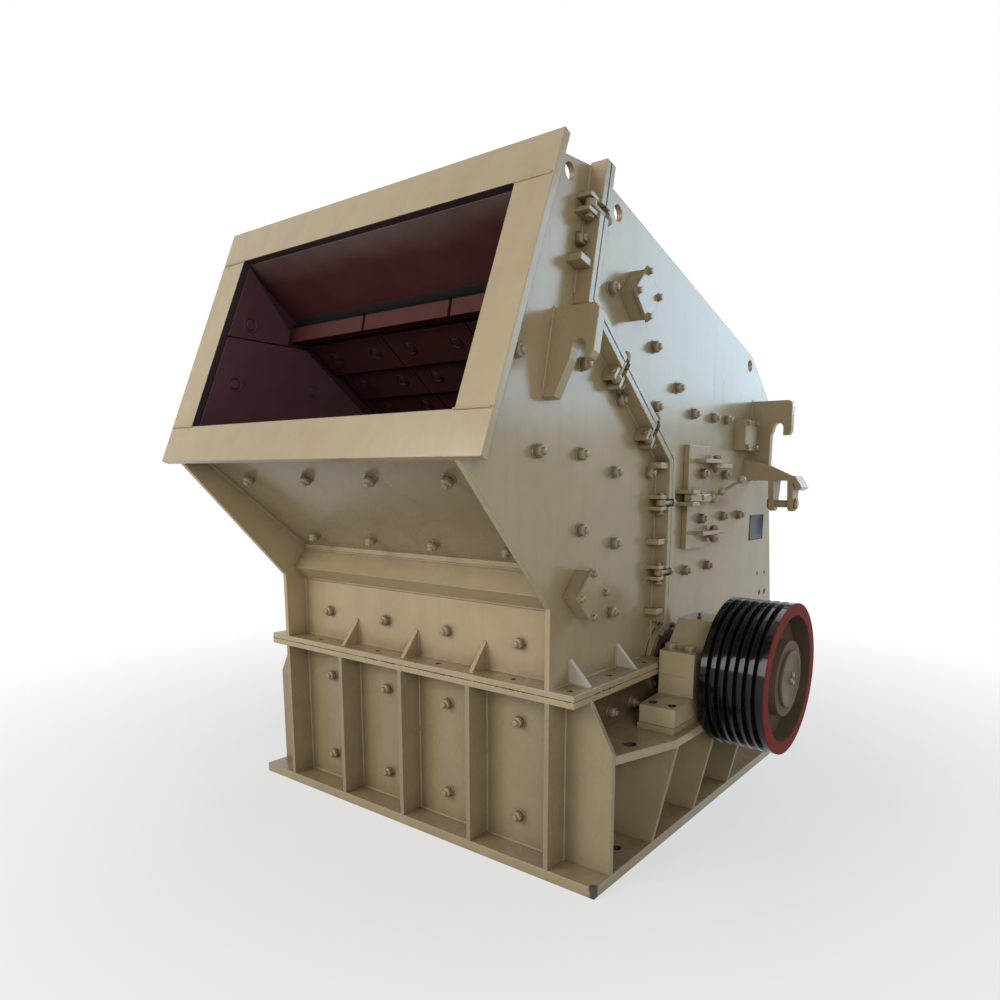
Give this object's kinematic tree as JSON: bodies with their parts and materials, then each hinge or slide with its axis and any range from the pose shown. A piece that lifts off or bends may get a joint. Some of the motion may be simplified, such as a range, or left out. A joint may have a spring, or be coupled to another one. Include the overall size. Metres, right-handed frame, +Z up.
{
  "type": "impact crusher",
  "caption": "Horizontal shaft impact crusher: ribbed base, split steel casing with a leaning feed frame, tilting rear casing, inspection doors, rotor on bearing blocks and a grooved pulley.",
  "frame": {"origin": "on the ground at the middle of the foot flange's anchor holes", "axes": "+X along the rotor shaft towards the pulley, -Y towards the feed opening, +Z up"},
  "size_m": [2.608, 3.032, 2.696],
  "materials": {
    "khaki_paint": "semi-gloss",
    "red_primer": "matt",
    "bare_steel": "satin",
    "wear_iron": "rough",
    "pulley_paint": "gloss"
  },
  "bodies": {
    "frame": {"foot_flange": "khaki_paint", "base_end_walls": "khaki_paint", "base_side_walls": "khaki_paint", "base_ribs": "khaki_paint", "base_top_flange": "khaki_paint", "bearing_shelves": "khaki_paint", "bearing_gussets": "khaki_paint", "front_side_plates": "khaki_paint", "front_bottom_flange": "khaki_paint", "front_wall": "khaki_paint", "chute_floor": "khaki_paint", "knee_beam": "khaki_paint", "feed_frame_rails": "khaki_paint", "feed_frame_posts": "khaki_paint", "front_roof": "red_primer", "lintel_plate": "red_primer", "lintel_blocks": "red_primer", "front_side_liners": "red_primer", "chute_liner": "red_primer", "front_parting_flanges": "khaki_paint", "front_gussets": "khaki_paint", "front_hooks": "khaki_paint", "front_square_covers": "khaki_paint", "swing_bolt_lugs": "khaki_paint", "flange_ribs": "khaki_paint", "bearing_soles": "khaki_paint", "bearing_bases": "khaki_paint", "bearing_caps": "khaki_paint", "bearing_covers": "khaki_paint", "seal_rings": "khaki_paint", "hinge_base_lugs": "khaki_paint", "hinge_pins": "bare_steel"},
    "rotor": {"shaft": "bare_steel", "rotor_discs": "red_primer", "blow_bars": "wear_iron", "pulley": "pulley_paint", "pulley_cap": "khaki_paint"},
    "rear_casing": {"rear_side_plates": "khaki_paint", "rear_roof": "khaki_paint", "rear_front_plate": "khaki_paint", "rear_wall": "khaki_paint", "rear_bottom_flange": "khaki_paint", "rear_parting_flanges": "khaki_paint", "rear_side_liners": "red_primer", "front_apron": "red_primer", "apron_blocks": "red_primer", "rear_apron": "red_primer", "apron_shafts": "bare_steel", "rear_hooks": "khaki_paint", "apron_shaft_covers": "khaki_paint", "cylinder_brackets": "khaki_paint", "cylinder_pins": "bare_steel", "hinge_casing_lugs": "khaki_paint", "door_hinge_lugs": "khaki_paint", "door_keepers": "khaki_paint"},
    "right_door": {"right_door": "khaki_paint", "right_door_clamp": "khaki_paint"},
    "left_door": {"left_door": "khaki_paint", "left_door_clamp": "khaki_paint"}
  },
  "joints": [
    {"name": "rotor_spin", "type": "hinge", "parent": "frame", "child": "rotor", "pos_m": [0, -0.271, 0.73], "axis": [1, 0, 0], "continuous": true},
    {"name": "casing_tilt", "type": "hinge", "parent": "frame", "child": "rear_casing", "pos_m": [0, 1.262, 0.753], "axis": [-1, 0, 0], "range_deg": [0, 60]},
    {"name": "right_door_swing", "type": "hinge", "parent": "rear_casing", "child": "right_door", "pos_m": [0.879, 0.143, 1.494], "axis": [0, 0, 1], "range_deg": [0, 100]},
    {"name": "left_door_swing", "type": "hinge", "parent": "rear_casing", "child": "left_door", "pos_m": [-0.879, 0.143, 1.494], "axis": [0, 0, -1], "range_deg": [0, 100]}
  ]
}
